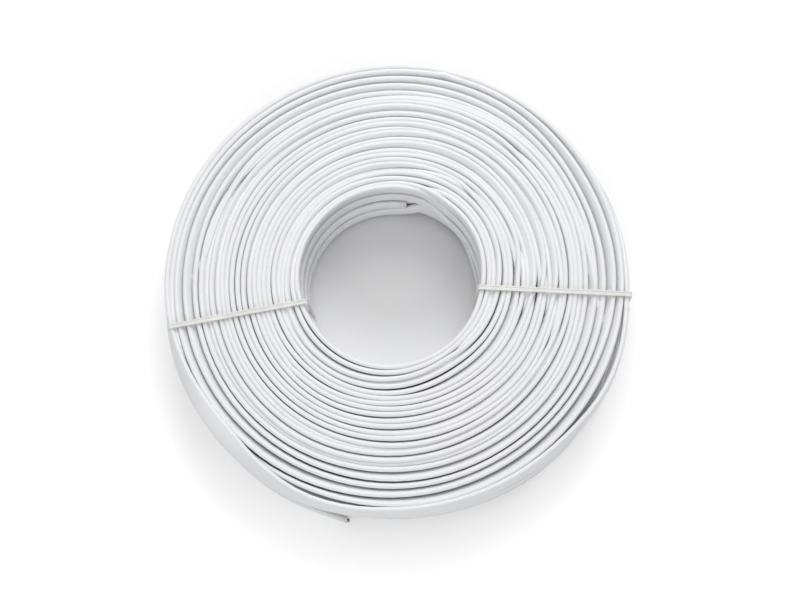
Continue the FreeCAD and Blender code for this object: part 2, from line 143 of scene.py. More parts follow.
# The way from the wall back in under the top turns, in degrees and millimetres: where it comes
# in, over what length, how far past the last low turn it ends at least, the radii at its two
# ends, and how flat the cable lies in its middle.
PASSAGE_START = 326.0
PASSAGE_LENGTH = 34.0
PASSAGE_LEAST = 40
PASSAGE_WALL = 109.0
PASSAGE_RIM = 93.0
PASSAGE_LEAN = 80.0
# Between these heights the painted shade in the grooves between the turns goes from full to none.
GROOVE_HEIGHTS = (30.5 * MM, 36.8 * MM)
# The painted shade in the grooves starts this far from the axis, and ends this far from it.
GROOVE_START = (46.5 * MM, 48.5 * MM)
GROOVE_END = (107.5 * MM, 109.5 * MM)
# Between these heights the painted shade in the seams between the rows fades out.
SEAM_HEIGHTS = (32.5 * MM, 34.5 * MM)
CORE_COLOURS = ("grey", "orange", "black", "red", "green", "yellow", "blue", "brown")
# Each tie: its direction from the axis in degrees, and how far it lies beside that line.
TIES = {"left_tie": (190.8, 1.7), "right_tie": (357.2, -1.2)}
# Where a strap crosses the outside wall and the rim of the bore, in millimetres from the axis.
TIE_WALL = 110
TIE_RIM = 44
# Between the strap and the cable, and how far the strap is pulled into the outside wall.
STRAP_GAP = 0.12
STRAP_PULL = 0.5
STRAP_BEND = 2.0 * MM
# How many steps the curves have from one control point to the next.
CABLE_STEPS = 3
STRAP_STEPS = 6
# Each soft light: its place and its side, in metres.
LIGHTS = {
    "back": ((0.15, 1.0, 1.0), 0.8),
    "overhead": ((0.1, 0.45, 1.5), 1.0),
    "front": ((-0.25, -1.2, 0.8), 0.9),
}
# A painted glow, seen by the camera and in reflections but lighting nothing, brings the sheet up to plain
# white between these two distances from this place behind the axis, and lightens the coil's shadow there.
GLOW = (0.03, 0.17)
GLOW_CENTRE_Y = 0.025
CAMERA_PLACE = (0.00089, -0.2329, 0.9205)
CAMERA_AIM = (0.00089, -0.00455, 0.019)


def length_size(title, told, millimetres):
    """A length that the user can set."""
    return bpy.props.FloatProperty(name=title, description=told, default=millimetres * MM,
                                   unit="LENGTH")


def colour_choice(title, told, default):
    """A colour that the user can set."""
    return bpy.props.FloatVectorProperty(name=title, description=told, default=default, size=3,
                                         subtype="COLOR")


def lamp_power(title, told, watts):
    """The power of a light that the user can set."""
    return bpy.props.FloatProperty(name=title, description=told, default=watts, min=0.0,
                                   unit="POWER")


class CableSizes(bpy.types.PropertyGroup):
    """The flat cable itself."""
    thickness: length_size("Thickness", "Across the flat sides of the cable", 2.4)
    width: length_size("Width", "Over the eight cores that lie side by side", 8.9)
    side_steps: bpy.props.IntProperty(
        name="Steps Round An Edge", description="Points on each rounded edge of the section",
        default=6, min=3)


class CoilSizes(bpy.types.PropertyGroup):
    """How the cable is wound."""
    height: length_size("Height", "From the floor to the top of the coil", 38)
    radius: length_size("Radius", "Outside radius of the wound rows", 111)
    rows: bpy.props.IntProperty(
        name="Rows", description="Turns that lie on each other in one layer", default=4, min=3)
    floor_gap: length_size(
        "Floor Clearance", "Under the lowest row, which stands on the ties", 0.9)
    bore_radius: length_size("Bore Radius", "Radius of the open middle at the floor", 41)
    bore_flare: length_size("Bore Flare", "How much wider the bore is at the top", 2.9)
    bore_x: length_size("Bore Centre X", "Middle of the bore", -2.5)
    bore_y: length_size("Bore Centre Y", "Middle of the bore", 2.6)
    wander: length_size("Wander", "How far a turn strays from its neighbours", 0.22)
    seed: bpy.props.IntProperty(
        name="Seed", description="Start of the random wander", default=7)


class TieSizes(bpy.types.PropertyGroup):
    """The two nylon ties."""
    strap_width: length_size("Strap Width", "Across the strap", 2.4)
    strap_thickness: length_size("Strap Thickness", "Through the strap at its rails", 1.1)
    groove_width: length_size("Groove Width", "Between the two rails", 1.0)
    groove_depth: length_size("Groove Depth", "Below the rails", 0.3)
    head_width: length_size("Head Width", "Across the head", 4.4)
    head_thickness: length_size("Head Thickness", "How far the head stands out", 2.6)
    head_length: length_size("Head Length", "Along the strap", 5.0)
    head_lift: length_size("Head Height", "Underside of the head above the floor", 6.0)


class Finishes(bpy.types.PropertyGroup):
    """Colours of the jacket, the ties and the cores."""
    jacket: colour_choice("Jacket", "Soft white PVC", (0.875, 0.88, 0.895))
    jacket_shade: colour_choice(
        "Jacket Shade", "Where the PVC is handled or duller", (0.80, 0.805, 0.825))
    # Painted shade: the dark colour put down in the grooves between the turns and in the seams between
    # the rows.
    groove_dust: colour_choice(
        "Groove Dust", "Down in the grooves between the turns", (0.17, 0.175, 0.19))
    nylon: colour_choice("Nylon", "Natural nylon of the ties", (0.83, 0.825, 0.79))
    grey: colour_choice("Grey Core", "First core", (0.36, 0.37, 0.38))
    orange: colour_choice("Orange Core", "Second core", (0.70, 0.21, 0.03))
    black: colour_choice("Black Core", "Third core", (0.02, 0.02, 0.022))
    red: colour_choice("Red Core", "Fourth core", (0.52, 0.035, 0.03))
    green: colour_choice("Green Core", "Fifth core", (0.13, 0.22, 0.05))
    yellow: colour_choice("Yellow Core", "Sixth core", (0.75, 0.55, 0.06))
    blue: colour_choice("Blue Core", "Seventh core", (0.03, 0.08, 0.36))
    brown: colour_choice("Brown Core", "Eighth core", (0.14, 0.06, 0.03))


class StageSizes(bpy.types.PropertyGroup):
    """Floor, lights and camera."""
    floor_size: length_size("Floor Size", "Side of the floor", 6000)
    lens: bpy.props.FloatProperty(
        name="Lens", description="Focal length on a 36 mm sensor", default=85.7, min=1.0)
    paper: colour_choice("Paper", "The sheet that the coil lies on", (0.72, 0.72, 0.725))
    # Painted light: strength of the glow that lifts the sheet and the coil's shadow on it to white away
    # from the coil.
    paper_white: bpy.props.FloatProperty(
        name="Paper Glow", description="Brings the sheet outside the coil up to white",
        default=0.5, min=0.0)
    back_power: lamp_power("Back Light", "Power of the soft light behind the coil", 9.2)
    overhead_power: lamp_power("Overhead Light", "Power of the soft light above the coil", 4.2)
    world_strength: bpy.props.FloatProperty(
        name="Room Light", description="Strength of the even light from all round",
        default=0.42, min=0.0)
    front_power: lamp_power("Front Light", "Power of the weak soft light before the coil", 5.0)


class CableCoilSettings(bpy.types.PropertyGroup):
    """Everything that a user would change."""
    cable: bpy.props.PointerProperty(type=CableSizes, name="Cable")
    coil: bpy.props.PointerProperty(type=CoilSizes, name="Coil")
    tie: bpy.props.PointerProperty(type=TieSizes, name="Ties")
    finishes: bpy.props.PointerProperty(type=Finishes, name="Finishes")
    stage: bpy.props.PointerProperty(type=StageSizes, name="Stage")


class Sock:
    """A value in a material's node tree, on which Python's operators add Math nodes."""

    def __init__(self, paint, socket):
        self.paint = paint
        self.socket = socket

    def _maths(self, operation, *values):
        return self.paint.node("ShaderNodeMath", {"operation": operation}, *values)

    def __add__(self, other):
        return self._maths("ADD", self, other)

    def __sub__(self, other):
        return self._maths("SUBTRACT", self, other)

    def __rsub__(self, other):
        return self._maths("SUBTRACT", other, self)

    def __mul__(self, other):
        return self._maths("MULTIPLY", self, other)

    __radd__ = __add__
    __rmul__ = __mul__

    def over(self, low, high):
        """This value spread to 0 to 1 between two limits, and held there."""
        return self.paint.node("ShaderNodeMapRange", {"clamp": True}, self, low, high)


class Paint:
    """A node tree with its shader: a new material's, or the world's."""

    def __init__(self, owner, **constants):
        if isinstance(owner, str):
            owner = bpy.data.materials.new(owner)
            owner.use_nodes = True
        self.owner = owner
        self.tree = owner.node_tree
        kinds = {"BSDF_PRINCIPLED", "BACKGROUND"}
        self.shader = next(node for node in self.tree.nodes if node.type in kinds)
        for title, value in constants.items():
            self.shader.inputs[title.replace("_", " ")].default_value = value

    def node(self, kind, settings, *values, out=0, **named):
        """Adds a node, sets it up, feeds its sockets and gives back one output."""
        made = self.tree.nodes.new(kind)
        for key, value in settings.items():
            setattr(made, key, value)
        for index, value in list(enumerate(values)) + list(named.items()):
            key = index if isinstance(index, int) else index.replace("_", " ")
            self.feed(made.inputs[key], value)
        return Sock(self, made.outputs[out])

    def feed(self, socket, value):
        """Links a socket to another node's value, or sets a constant on it."""
        if isinstance(value, Sock):
            self.tree.links.new(value.socket, socket)
        else:
            socket.default_value = value

    def place(self):
        """Object coordinates, in metres."""
        return self.node("ShaderNodeTexCoord", {}, out="Object")

    def noise(self, where, scale, detail=3.0, roughness=0.5):
        """Soft random values with a given number of grains to the metre."""
        return self.node("ShaderNodeTexNoise", {}, Vector=where, Scale=scale, Detail=detail,
                         Roughness=roughness)

    def blend(self, factor, first, second):
        """One colour fading to another."""
        made = self.tree.nodes.new("ShaderNodeMix")
        made.data_type = "RGBA"
        self.feed(made.inputs[0], factor)
        for socket, colour in ((made.inputs[6], first), (made.inputs[7], second)):
            self.feed(socket, colour if isinstance(colour, Sock) else (*colour, 1.0))
        return Sock(self, made.outputs[2])

    def bumps(self, height, strength, distance):
        """Feeds a height to the surface's normal."""
        made = self.node("ShaderNodeBump", {}, Strength=strength, Distance=distance, Height=height)
        self.feed(self.shader.inputs["Normal"], made)

    def set(self, title, value):
        """Feeds one of the shader's sockets."""
        self.feed(self.shader.inputs[title], value)


def seen_directly(paint):
    """1 where the camera sees the surface, straight or in gloss or through glass, otherwise 0."""
    rays = ("Is Camera Ray", "Is Glossy Ray", "Is Transmission Ray")
    camera, gloss, glass = (paint.node("ShaderNodeLightPath", {}, out=ray) for ray in rays)
    return (camera + gloss + glass).over(0.0, 1.0)


def jacket_pvc(name, finishes):
    """Satin white PVC: faint dull patches, extrusion lines along the cable and light scuffs.

    Painted shade darkens the grooves between the turns and the seams between the rows.
    """
    paint = Paint(name, IOR=1.5, Specular_IOR_Level=0.42)
    where = paint.place()
    height = paint.node("ShaderNodeSeparateXYZ", {}, where, out="Z")
    level = paint.node("ShaderNodeVectorMath", {"operation": "MULTIPLY"}, where, (1.0, 1.0, 0.0))
    radius = paint.node("ShaderNodeVectorMath", {"operation": "LENGTH"}, level, out="Value")
    facing = paint.node("ShaderNodeNewGeometry", {}, out="Normal")
    upward = paint.node("ShaderNodeSeparateXYZ", {}, facing, out="Z")
    steep = paint.node("ShaderNodeMath", {"operation": "ABSOLUTE"}, upward)
    # Painted shade: darker down in the grooves between the turns, less on faces that look up, and darker
    # in the seams between the rows.
    within = radius.over(*GROOVE_START) * (1.0 - radius.over(*GROOVE_END))
    walls = 1.0 - upward.over(0.25, 0.7) * 0.85
    groove = (1.0 - height.over(*GROOVE_HEIGHTS)) * within * walls
    seam = steep.over(0.55, 0.95) * (1.0 - height.over(*SEAM_HEIGHTS))
    lengthwise = paint.node("ShaderNodeUVMap", {"uv_map": "along"})
    patches = paint.noise(where, 55.0, 4.0)
    grain = paint.noise(where, 900.0, 3.0, 0.6)
    lines = paint.noise(paint.node("ShaderNodeVectorMath", {"operation": "MULTIPLY"},
                                   lengthwise, (0.6, 1.0, 1.0)), 46.0, 2.0)
    scuffs = paint.noise(where, 330.0, 6.0, 0.75).over(0.58, 0.72)
    shade = patches.over(0.35, 0.75) * 0.35 + lines.over(0.4, 0.8) * 0.2 + scuffs * 0.15
    clean = paint.blend(shade, finishes.jacket, finishes.jacket_shade)
    # The painted shade of the grooves and seams, mixed into the base colour.
    dark = paint.node("ShaderNodeMath", {"operation": "MAXIMUM"}, groove * 0.42, seam * 0.3)
    paint.set("Base Color", paint.blend(dark, clean, finishes.groove_dust))
    paint.set("Roughness", 0.36 + patches * 0.12 + scuffs * 0.14)
    paint.bumps(grain * 0.35 + lines * 0.5 + scuffs * 0.3, 0.22, 0.08 * MM)
    return paint.owner


def tie_nylon(name, finishes):
    """Natural nylon: warm, slightly cloudy, finely textured by its mould."""
    paint = Paint(name, IOR=1.53, Subsurface_Weight=0.12, Subsurface_Scale=0.8 * MM)
    where = paint.place()
    cloud = paint.noise(where, 210.0, 3.0)
    grain = paint.noise(where, 2600.0, 2.0, 0.6)
    darker = tuple(0.86 * channel for channel in finishes.nylon)
    paint.set("Base Color", paint.blend(cloud.over(0.35, 0.7), finishes.nylon, darker))
    paint.set("Roughness", 0.30 + cloud * 0.16)
    paint.bumps(grain, 0.18, 0.03 * MM)
    return paint.owner


def core_plastic(name, colour):
    """Coloured insulation of one core, a little uneven where it was cut."""
    paint = Paint(name, IOR=1.5)
    where = paint.place()
    cloud = paint.noise(where, 1400.0, 3.0)
    lighter = tuple(0.75 * channel + 0.05 for channel in colour)
    paint.set("Base Color", paint.blend(cloud.over(0.3, 0.75), colour, lighter))
    paint.set("Roughness", 0.38 + cloud * 0.2)
    paint.bumps(cloud, 0.3, 0.03 * MM)
    return paint.owner


def copper_wire(name):
    """Bright stranded copper with dulled spots."""
    paint = Paint(name)
    where = paint.place()
    dull = paint.noise(where, 2500.0, 4.0)
    paint.set("Base Color", paint.blend(dull.over(0.4, 0.7), (0.83, 0.42, 0.24), (0.45, 0.2, 0.1)))
    paint.set("Metallic", 1.0 - dull.over(0.55, 0.9) * 0.3)
    paint.set("Roughness", 0.22 + dull * 0.3)
    paint.bumps(dull, 0.3, 0.02 * MM)
    return paint.owner


def settings():
    """The scene's own sizes and colours."""
    return bpy.context.scene.cable_coil


def material(name, maker, *values):
    """One material of that name, made the first time that it is asked for."""
    return bpy.data.materials.get(name) or maker(name, *values)


def shown(name, data):
    """A new object in the scene, made of the given data."""
    made = bpy.data.objects.new(name, data)
    bpy.context.scene.collection.objects.link(made)
    return made


def moulded(name, build):
    """A new object in the scene, with the mesh that was built."""
    mesh = bpy.data.meshes.new(name)
    build.to_mesh(mesh)
    build.free()
    return shown(name, mesh)


def points_of(curve):
    """The points along a curve that has no section yet."""
    bare = bpy.data.meshes.new_from_object(curve)
    points = [vertex.co.copy() for vertex in bare.vertices]
    bpy.data.meshes.remove(bare)
    return points


def smoothed(share):
    """An even step from 0 to 1 that starts and stops gently."""
    share = max(0.0, min(1.0, share))
    return share * share * (3 - 2 * share)


def swell(degrees, middle, spread, most=1.0):
    """The most at one place round the coil, fading to 0 on both sides of it."""
    away = (degrees - middle + 180) % 360 - 180
    return most * math.exp(-(away / spread) ** 2)


def between(values, degrees, closed, every=30.0):
    """A value on a smooth line through points that stand evenly round the coil."""
    place = degrees / every
    first = math.floor(place)
    share = place - first
    count = len(values)

    def pick(index):
        return values[index % count] if closed else values[max(0, min(count - 1, index))]

    a, b, c, d = (pick(first + step) for step in (-1, 0, 1, 2))
    return b + 0.5 * share * (c - a + share * (2 * a - 5 * b + 4 * c - d
                                               + share * (3 * (b - c) + d - a)))


class Winding:
    """Where the cable's middle lies, all in millimetres and degrees round the coil's axis."""

    # Layers of turns from the bore to the outside wall.
    layers = 26
    # So many of them, from the bore, have a top turn that closes on itself.
    closed_layers = 20
    # How far the top turns stand below the coil's full height.
    top_drop = 0.15
    # Every second column stands higher than its neighbours, below the top row.
    stagger = 1.6
    # How much longer than a full turn a top turn is, in degrees.
    overlap = 5.0
    # Over how many degrees to each side two legs of the route fade into each other.
    blend = 10.0
    # How far apart the route's control points stand, in degrees.
    station = 12.0
    # A turn in a wide place leans until it fills it, times this, up to the most lean.
    slump = 2.0
    most_lean = math.radians(34)
    # A turn in a tight place sinks by the room that it lacks, times this.
    sinking = 1.25
    # What a turn takes up of its wander, outwards, upwards and as a lean.
    closed_stray = (0.25, 0.6, 6)
    spiral_stray = (0.25, 0.5, 5)
    row_lean = 9
    # How much of its wander a turn keeps in the bore's wall, outwards and upwards.
    bore_wander = (0.2, 0.5)
    # How much more a turn wanders in the outside wall.
    wall_wander = 1.6
    # The turns under a leaning top turn lean by this share of it, less and less lower down.
    lean_below = 0.45

    def __init__(self):
        sizes = settings().coil
        cable = settings().cable
        self.sizes = sizes
        self.thick = cable.thickness / MM
        self.width = cable.width / MM
        self.top_row = sizes.rows - 1
        self.top = sizes.height / MM
        self.floor = sizes.floor_gap / MM + self.width / 2
        self.pitch = (self.top - self.width / 2 - self.floor) / self.top_row
        self.tip_row = round((INNER_TIP_HEIGHT - self.floor) / self.pitch)
        self.legs = []
        self.phases = {}
        draws = random.Random(sizes.seed)
        for layer in range(1, self.layers + 1):
            for row in range(sizes.rows):
                self.phases[layer, row] = [draws.uniform(0, math.tau) for _ in range(4)]

    def wall(self, degrees, radius, centre_x, centre_y):
        """Distance from the coil's axis to a circle that stands off it."""
        turn = math.radians(degrees)
        along = centre_x * math.cos(turn) + centre_y * math.sin(turn)
        across = centre_y * math.cos(turn) - centre_x * math.sin(turn)
        return along + math.sqrt(radius ** 2 - across ** 2)

    def bore(self, degrees, height):
        """Distance from the coil's axis to the bore's wall."""
        sizes = self.sizes
        radius = (sizes.bore_radius + sizes.bore_flare * height / self.top) / MM
        return self.wall(degrees, radius, sizes.bore_x / MM, sizes.bore_y / MM)

    def stray(self, layer, row, degrees):
        """A turn's own small wander, outwards and upwards."""
        long_out, short_out, long_rise, short_rise = self.phases[layer, row]
        turn = math.radians(degrees)
        wander = self.sizes.wander / MM
        out = wander * (math.sin(2 * turn + long_out) + 0.6 * math.sin(5 * turn + short_out))
        waves = math.sin(3 * turn + long_rise) + 0.5 * math.sin(7 * turn + short_rise)
        return out, 0.5 * wander * waves

    def settle(self, inner, outer):
        """A top turn between two edges: a wide place lets it lean outwards, a tight one sinks it."""
        room = outer - inner
        reach = self.width - self.thick
        spare = max(0.0, min(1.0, (room - self.thick) / reach))
        lean = min(self.most_lean, self.slump * math.asin(spare))
        tight = max(0.0, self.thick - room)
        half = (self.thick + reach * math.cos(lean)) / 2
        radius = outer - (min(room, self.thick) + reach * math.sin(lean)) / 2
        return radius, self.top - self.top_drop - half - self.sinking * tight, math.degrees(lean)

    def top_turn(self, layer, angle):
        """The top turn of one of the layers that close on themselves."""
        degrees = angle % 360
        inner = between(INNER_EDGES[layer - 1], degrees, True)
        outer = between(INNER_EDGES[layer], degrees, True)
        radius, height, lean = self.settle(inner, outer)
        out, rise = self.stray(layer, self.top_row, degrees)
        outwards, upwards, over = self.closed_stray
        return radius + outwards * out, height + upwards * rise, lean + over * out

    def row_turn(self, layer, row, angle):
        """A turn below the top one: under the inner end's row each layer lies one column in."""
        degrees = angle % 360
        low = row < self.tip_row
        column = layer - low
        height = self.floor + self.pitch * row
        step_up = self.stagger * (column % 2 == 0 and layer < self.layers)
        share = row / self.top_row
        inside = self.bore(degrees, height) + self.thick / 2
        outside = (self.sizes.radius / MM) - self.thick / 2
        radius = inside + (outside - inside) * (column - 1) / (self.layers - low - 1)
        out, rise = self.stray(layer, row, degrees)
        if column == 1:
            out, rise = self.bore_wander[0] * out, self.bore_wander[1] * rise
        if column == 2 and row == self.tip_row:
            radius -= swell(degrees, *TIP_NEIGHBOUR)
        lean = self.row_lean * out
        if column <= self.closed_layers:
            top_radius, top_height, top_lean = self.top_turn(column, angle)
            radius += (top_radius - radius) * share ** 2
            height = self.floor + (top_height - self.floor) * share
            lean += self.lean_below * top_lean * share ** 4
        if layer == self.layers:
            bulge = swell(degrees, *WALL_BULGE) * math.sin(math.pi * (share + BULGE_BELOW))
            out = self.wall_wander * out + bulge
            height += row * swell(degrees, *WALL_RISE)
            lean -= (share - UPRIGHT_AT) * swell(degrees, *WALL_LEAN)
        return radius + out, height + rise + step_up, lean

    def spiral_turn(self, angle):
        """The last top turns, which spiral out from one to the next."""
        inner = between(OUTER_EDGE, angle, False)
        outer = between(OUTER_EDGE, angle + 360, False)
        radius, height, lean = self.settle(inner, outer)
        turns, degrees = divmod(angle, 360)
        if turns == 3:
            height -= SUNK * smoothed(swell(degrees, *SUNK_AT))
        if turns == 4:
            radius, height, lean = self.laid_over(degrees, radius, height, lean)
        if turns == 5:
            height -= (self.pitch - DESCENT_REST) * smoothed(degrees / DESCENT)
        out, rise = self.stray(self.layers - 1, self.top_row, degrees)
        outwards, upwards, over = self.spiral_stray
        return radius + outwards * out, height + upwards * rise, lean + over * out

    def laid_over(self, degrees, radius, height, lean):
        """The last full top turn, which lies over on its side for a part of its way."""
        past = degrees - LAST_START
        inner = between(LAST_EDGE, past, False, LAST_STEP)
        room = between(LAST_WIDTH, past, False, LAST_STEP)
        reach = self.width - self.thick
        over = -math.asin(max(0.0, min(LAID_MOST, (room - self.thick) / reach)))
        half = (self.thick + reach * math.cos(over)) / 2
        high = self.top - self.top_drop - half + swell(degrees, *LAID_PROUD)
        share = smoothed(past / LAID_IN) * smoothed((360 - degrees) / LAID_OUT)
        laid = (inner + room / 2, high, math.degrees(over))
        return tuple(a + (b - a) * share for a, b in zip((radius, height, lean), laid))

    def inner_tip(self, angle):
        """The inner end, which lies in the bore's wall at its own height."""
        return self.bore(angle, INNER_TIP_HEIGHT) + self.thick / 2, INNER_TIP_HEIGHT, 0.0

    def outer_tip(self, angle):
        """The outer end: it leaves the bottom row on a tighter bend and ends straight."""
        start_x, start_y = TAIL_BEND_CENTRE
        if angle % 360 <= TAIL_STRAIGHT_FROM:
            return self.wall(angle, TAIL_BEND_RADIUS, start_x, start_y), TAIL_HEIGHT, 0.0
        from_turn = math.radians(TAIL_STRAIGHT_FROM)
        base = Vector((start_x + TAIL_BEND_RADIUS * math.cos(from_turn),
                       start_y + TAIL_BEND_RADIUS * math.sin(from_turn)))
        way = Vector((-math.sin(from_turn), math.cos(from_turn)))
        ray = Vector((math.cos(math.radians(angle)), math.sin(math.radians(angle))))
        return base.cross(way) / ray.cross(way), TAIL_HEIGHT, 0.0

    def add(self, turn, stop):
        """One more leg of the route, up to an angle."""
        self.legs.append((turn, stop))
        return stop

    def next_at(self, angle, degrees, least=40.0):
        """The next angle past another that stands at one place round the coil."""
        ahead = (degrees - angle) % 360
        return angle + ahead + (360 if ahead < least else 0)

    def rows(self, layer, rows, angle, degrees):
        """Full turns one after another in one layer, each ended at one place."""
        for row in rows:
            angle = self.next_at(angle, degrees)
            self.add(lambda at, row=row: self.row_turn(layer, row, at), angle)
        return angle

    def pair(self, layer, angle, crossing, first_row=0):
        """Up one layer, over its top and down the next one."""
        overlap = self.overlap
        up = range(first_row, self.top_row)
        angle = self.rows(layer, up, angle, crossing - overlap)
        angle = self.add(lambda at: self.top_turn(layer, at), angle + 360 + overlap)
        angle = self.add(lambda at: self.top_turn(layer + 1, at), angle + 360 + overlap)
        down = range(self.top_row - 1, 0, -1)
        return self.rows(layer + 1, down, angle, crossing + overlap)

    def position(self, angle):
        """The cable's middle at one angle of the route, with the legs faded into each other."""
        for index, (turn, stop) in enumerate(self.legs):
            if angle < stop + self.blend or index == len(self.legs) - 1:
                break
        here = turn(angle)
        if index < len(self.legs) - 1 and angle > stop - self.blend:
            share = smoothed((angle - stop + self.blend) / (2 * self.blend))
            there = self.legs[index + 1][0](angle)
            here = tuple(a + (b - a) * share for a, b in zip(here, there))
        return here

    def stations(self, start, stop):
        """Control points from one angle of the route to another, each with its lean."""
        # The curve passes a little inside its control points, so those stand a little outside.
        cut_in = 0.75 + 0.25 * math.cos(math.radians(self.station))
        count = max(2, round((stop - start) / self.station))
        found = []
        for index in range(count + 1):
            angle = start + (stop - start) * index / count
            radius, height, lean = self.position(angle)
            if 0 < index < count:
                radius /= cut_in
            turn = math.radians(angle)
            point = Vector((radius * math.cos(turn), radius * math.sin(turn), height))
            found.append((point * MM, math.radians(lean)))
        return found


def wind_inner(winding):
    """The route from the inner end through the first layers: gives back where it stops."""
    angle = winding.add(winding.inner_tip, INNER_TIP_START + INNER_TIP_LENGTH)
    angle = wind_pair(winding, 1, angle, CROSSINGS[0], winding.tip_row)
    for index, crossing in enumerate(CROSSINGS[1:INNER_PAIRS], start=1):
        angle = wind_pair(winding, 2 * index + 1, angle, crossing)
    return angle


def wind_pair(winding, layer, angle, crossing, first_row=0):
    """Two layers, and part of a turn on the floor that leads to the next two."""
    angle = winding.pair(layer, angle, crossing, first_row)
    return winding.add(lambda at: winding.row_turn(layer + 1, 0, at), angle + FLOOR_WAY)


def wind_outer(winding, start):
    """The route on to the outer end: two pairs, five low layers, the spiral and the wall."""
    angle = start
    for index, crossing in enumerate(CROSSINGS[INNER_PAIRS:], start=INNER_PAIRS):
        angle = wind_pair(winding, 2 * index + 1, angle, crossing)
    upward = range(winding.top_row)
    for layer in range(winding.closed_layers + 1, winding.layers):
        odd = layer % 2 == 1
        angle = winding.rows(layer, upward if odd else upward[::-1], angle, LOW_STEP)
    last = winding.layers
    high = winding.top_row - 1
    angle = winding.add(lambda at: winding.row_turn(last, high, at), angle + LAST_LOW_WAY)
    spiral_start = winding.next_at(angle + PASSAGE_LEAST, 0, 0.0)
    winding.add(lambda at: low_passage(winding, at), spiral_start)
    angle = winding.add(lambda at: winding.spiral_turn(at - spiral_start),
                        spiral_start + SPIRAL_WAY)
    angle = winding.rows(last, range(high, 0, -1), angle, WALL_STEP)
    tail_start = winding.next_at(angle, TAIL_FROM)
    winding.add(lambda at: winding.row_turn(last, 0, at), tail_start)
    winding.add(winding.outer_tip, tail_start + 360)
    return winding.next_at(tail_start, TAIL_END, 0.0)


def low_passage(winding, angle):
    """The way from the wall back in under the top turns, to where the spiral starts."""
    degrees = angle % 360
    share = smoothed((degrees - PASSAGE_START) / PASSAGE_LENGTH) if degrees > 180 else 1.0
    radius = PASSAGE_WALL + (PASSAGE_RIM - PASSAGE_WALL) * share
    low = winding.floor + winding.pitch * (winding.top_row - 1)
    return radius, low + winding.pitch * share, PASSAGE_LEAN * math.sin(math.pi * share)


def section(cable):
    """The cable's section as a closed flat curve: two flat sides and two round edges."""
    data = bpy.data.curves.new("cable_section", "CURVE")
    data.dimensions = "2D"
    radius = cable.thickness / 2
    reach = cable.width / 2 - radius
    points = []
    for end, first in ((1, 0.0), (-1, math.pi)):
        for step in range(cable.side_steps):
            turn = first + math.pi * step / (cable.side_steps - 1)
            points.append((radius * math.cos(turn), end * reach + radius * math.sin(turn)))
    return closed_curve(data, points)


def closed_curve(data, points):
    """Puts a closed outline of straight steps on a curve and gives back its object."""
    line = data.splines.new("POLY")
    line.points.add(len(points) - 1)
    for point, (across, up) in zip(line.points, points):
        point.co = (across, up, 0, 1)
    line.use_cyclic_u = True
    return shown(data.name, data)


def route_curve(name, stations, resolution):
    """A smooth curve with the stations as its control points."""
    data = bpy.data.curves.new(name, "CURVE")
    data.dimensions = "3D"
    data.twist_mode = "Z_UP"
    data.resolution_u = resolution
    line = data.splines.new("NURBS")
    line.points.add(len(stations) - 1)
    for point, (place, lean) in zip(line.points, stations):
        point.co = (*place, 1)
        point.tilt = lean
    line.order_u = 3
    line.use_endpoint_u = True
    line.use_smooth = True
    return shown(name, data)


def swept(name, stations, shape, resolution):
    """A section carried along a route: gives back the solid piece and the line that it follows."""
    curve = route_curve(name + "_route", stations, resolution)
    path = points_of(curve)
    curve.data.bevel_mode = "OBJECT"
    curve.data.bevel_object = shape
    curve.data.use_fill_caps = True
    bpy.context.view_layer.update()
    solved = curve.evaluated_get(bpy.context.evaluated_depsgraph_get())
    mesh = bpy.data.meshes.new_from_object(solved)
    mesh.name = name
    bpy.data.objects.remove(curve)
    tidy_sweep(mesh)
    return shown(name, mesh), path


def tidy_sweep(mesh):
    """Closes a swept mesh: merges its doubles, turns its faces outwards and keeps its ends flat."""
    build = bmesh.new()
    build.from_mesh(mesh)
    bmesh.ops.remove_doubles(build, verts=build.verts, dist=0.001 * MM)
    bmesh.ops.recalc_face_normals(build, faces=build.faces)
    for face in build.faces:
        face.smooth = len(face.verts) == 4
    build.to_mesh(mesh)
    build.free()
    if mesh.uv_layers:
        mesh.uv_layers[0].name = "along"


def length_of(path):
    """The length of a line of points, in metres."""
    return sum((b - a).length for a, b in zip(path, path[1:]))


def finish_piece(piece, finish):
    """Gives a piece its finish and its body."""
    piece.data.materials.clear()
    piece.data.materials.append(finish)
    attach(piece, "root")


class CABLE_COIL_OT_wind(bpy.types.Operator):
    """Winds the whole coil as one cable in two stretches."""
    bl_idname = "cable_coil.wind"
    bl_label = "Wind The Coil"

    def execute(self, context):
        shape = section(settings().cable)
        finish = material("jacket_pvc", jacket_pvc, settings().finishes)
        winding = Winding()
        joint = wind_inner(winding)
        end = wind_outer(winding, joint)
        stretches = (
            ("inner_stretch", INNER_TIP_START, joint, ("coil_inner_layers", "inner_end_jacket"), "inner"),
            ("outer_stretch", joint, end, ("coil_top_winding", "outer_end_jacket"), "outer"),
        )
        for name, first, last, nodes, side in stretches:
            piece, path = swept(name, winding.stations(first, last), shape, CABLE_STEPS)
            finish_piece(piece, finish)
            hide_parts(*nodes)
            insides = (side + "_end_core", side + "_end_conductor")
            way_out = path[0] if side == "inner" else path[-1]
            length_of(path)
        bpy.data.objects.remove(shape)
        return {"FINISHED"}


